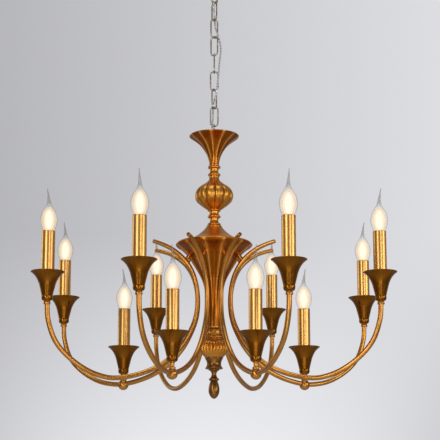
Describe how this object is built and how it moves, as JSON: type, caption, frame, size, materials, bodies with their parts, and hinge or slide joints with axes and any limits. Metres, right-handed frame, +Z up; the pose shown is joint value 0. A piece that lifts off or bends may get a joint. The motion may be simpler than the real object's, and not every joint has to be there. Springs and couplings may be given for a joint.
{
  "type": "multi arm chandelier",
  "caption": "Antique brass chandelier on a chain: curved arms with horned ends carry candle lamps in trumpet cups round a fluted column, with lower lamps on some arms.",
  "frame": {"origin": "centre of the ceiling bracket's top face, on the ceiling plane", "axes": "+Z up to the ceiling along the column, -Y to the front, +X to the viewer's right"},
  "size_m": [0.7116, 0.7116, 0.902],
  "materials": {
    "antique_brass": "brushed antique",
    "dark_brass": "darkened antique",
    "candle_brass": "satin",
    "pewter_steel": "pewter plate",
    "clear_glass": "clear, polished",
    "clear_cord": "clear sleeve",
    "warm_filament": "glowing"
  },
  "bodies": {
    "ceiling_mount": {"ceiling_bracket": "pewter_steel", "canopy": "antique_brass", "canopy_loop": "pewter_steel"},
    "link_1": {"chain_link_1": "pewter_steel"},
    "link_2": {"chain_link_2": "pewter_steel"},
    "link_3": {"chain_link_3": "pewter_steel"},
    "link_4": {"chain_link_4": "pewter_steel"},
    "link_5": {"chain_link_5": "pewter_steel"},
    "link_6": {"chain_link_6": "pewter_steel"},
    "link_7": {"chain_link_7": "pewter_steel"},
    "fixture": {"cord": "clear_cord", "cord_bushing": "pewter_steel", "top_loop": "pewter_steel", "top_trumpet": "antique_brass", "upper_spool": "antique_brass", "melon_ball": "antique_brass", "lower_spool": "antique_brass", "body_cover": "antique_brass", "fluted_body": "antique_brass", "body_collar": "dark_brass", "gadrooned_urn": "antique_brass", "base_flange": "antique_brass", "finial": "antique_brass", "centre_rod": "pewter_steel", "arm_1": "antique_brass", "arm_2": "antique_brass", "arm_3": "antique_brass", "arm_4": "antique_brass", "arm_5": "antique_brass", "arm_6": "antique_brass", "arm_7": "antique_brass", "arm_8": "antique_brass", "inner_branch_1": "antique_brass", "inner_branch_2": "antique_brass", "inner_branch_3": "antique_brass", "inner_branch_4": "antique_brass", "candle_sleeve_1": "candle_brass", "candle_sleeve_2": "candle_brass", "candle_sleeve_3": "candle_brass", "candle_sleeve_4": "candle_brass", "candle_sleeve_5": "candle_brass", "candle_sleeve_6": "candle_brass", "candle_sleeve_7": "candle_brass", "candle_sleeve_8": "candle_brass", "candle_sleeve_9": "candle_brass", "candle_sleeve_10": "candle_brass", "candle_sleeve_11": "candle_brass", "candle_sleeve_12": "candle_brass"},
    "lamp_1": {"bulb_1": "clear_glass"},
    "lamp_2": {"bulb_2": "clear_glass"},
    "lamp_3": {"bulb_3": "clear_glass"},
    "lamp_4": {"bulb_4": "clear_glass"},
    "lamp_5": {"bulb_5": "clear_glass"},
    "lamp_6": {"bulb_6": "clear_glass"},
    "lamp_7": {"bulb_7": "clear_glass"},
    "lamp_8": {"bulb_8": "clear_glass"},
    "lamp_9": {"bulb_9": "clear_glass"},
    "lamp_10": {"bulb_10": "clear_glass"},
    "lamp_11": {"bulb_11": "clear_glass"},
    "lamp_12": {"bulb_12": "clear_glass"}
  },
  "joints": [
    {"name": "link_1_swing", "type": "hinge", "parent": "ceiling_mount", "child": "link_1", "pos_m": [0, 0, -0.0592], "axis": [0.7771, 0.6293, 0], "range_deg": [-8, 8]},
    {"name": "link_2_swing", "type": "hinge", "parent": "link_1", "child": "link_2", "pos_m": [0, 0, -0.0981], "axis": [0.6293, -0.7771, 0], "range_deg": [-8, 8]},
    {"name": "link_3_swing", "type": "hinge", "parent": "link_2", "child": "link_3", "pos_m": [0, 0, -0.137], "axis": [0.891, 0.454, 0], "range_deg": [-8, 8]},
    {"name": "link_4_swing", "type": "hinge", "parent": "link_3", "child": "link_4", "pos_m": [0, 0, -0.1759], "axis": [0.891, -0.454, 0], "range_deg": [-8, 8]},
    {"name": "link_5_swing", "type": "hinge", "parent": "link_4", "child": "link_5", "pos_m": [0, 0, -0.2148], "axis": [0, 1, 0], "range_deg": [-8, 8]},
    {"name": "link_6_swing", "type": "hinge", "parent": "link_5", "child": "link_6", "pos_m": [0, 0, -0.2537], "axis": [1, 0, 0], "range_deg": [-8, 8]},
    {"name": "link_7_swing", "type": "hinge", "parent": "link_6", "child": "link_7", "pos_m": [0, 0, -0.2926], "axis": [0.5878, 0.809, 0], "range_deg": [-8, 8]},
    {"name": "fixture_swing", "type": "hinge", "parent": "link_7", "child": "fixture", "pos_m": [0, 0, -0.3315], "axis": [1, 0, 0], "range_deg": [-8, 8], "deforming": ["cord"]},
    {"name": "lamp_1_unscrew", "type": "slide", "parent": "fixture", "child": "lamp_1", "axis": [0, 0, 1], "range_m": [0, 0.03]},
    {"name": "lamp_2_unscrew", "type": "slide", "parent": "fixture", "child": "lamp_2", "axis": [0, 0, 1], "range_m": [0, 0.03]},
    {"name": "lamp_3_unscrew", "type": "slide", "parent": "fixture", "child": "lamp_3", "axis": [0, 0, 1], "range_m": [0, 0.03]},
    {"name": "lamp_4_unscrew", "type": "slide", "parent": "fixture", "child": "lamp_4", "axis": [0, 0, 1], "range_m": [0, 0.03]},
    {"name": "lamp_5_unscrew", "type": "slide", "parent": "fixture", "child": "lamp_5", "axis": [0, 0, 1], "range_m": [0, 0.03]},
    {"name": "lamp_6_unscrew", "type": "slide", "parent": "fixture", "child": "lamp_6", "axis": [0, 0, 1], "range_m": [0, 0.03]},
    {"name": "lamp_7_unscrew", "type": "slide", "parent": "fixture", "child": "lamp_7", "axis": [0, 0, 1], "range_m": [0, 0.03]},
    {"name": "lamp_8_unscrew", "type": "slide", "parent": "fixture", "child": "lamp_8", "axis": [0, 0, 1], "range_m": [0, 0.03]},
    {"name": "lamp_9_unscrew", "type": "slide", "parent": "fixture", "child": "lamp_9", "axis": [0, 0, 1], "range_m": [0, 0.03]},
    {"name": "lamp_10_unscrew", "type": "slide", "parent": "fixture", "child": "lamp_10", "axis": [0, 0, 1], "range_m": [0, 0.03]},
    {"name": "lamp_11_unscrew", "type": "slide", "parent": "fixture", "child": "lamp_11", "axis": [0, 0, 1], "range_m": [0, 0.03]},
    {"name": "lamp_12_unscrew", "type": "slide", "parent": "fixture", "child": "lamp_12", "axis": [0, 0, 1], "range_m": [0, 0.03]}
  ]
}
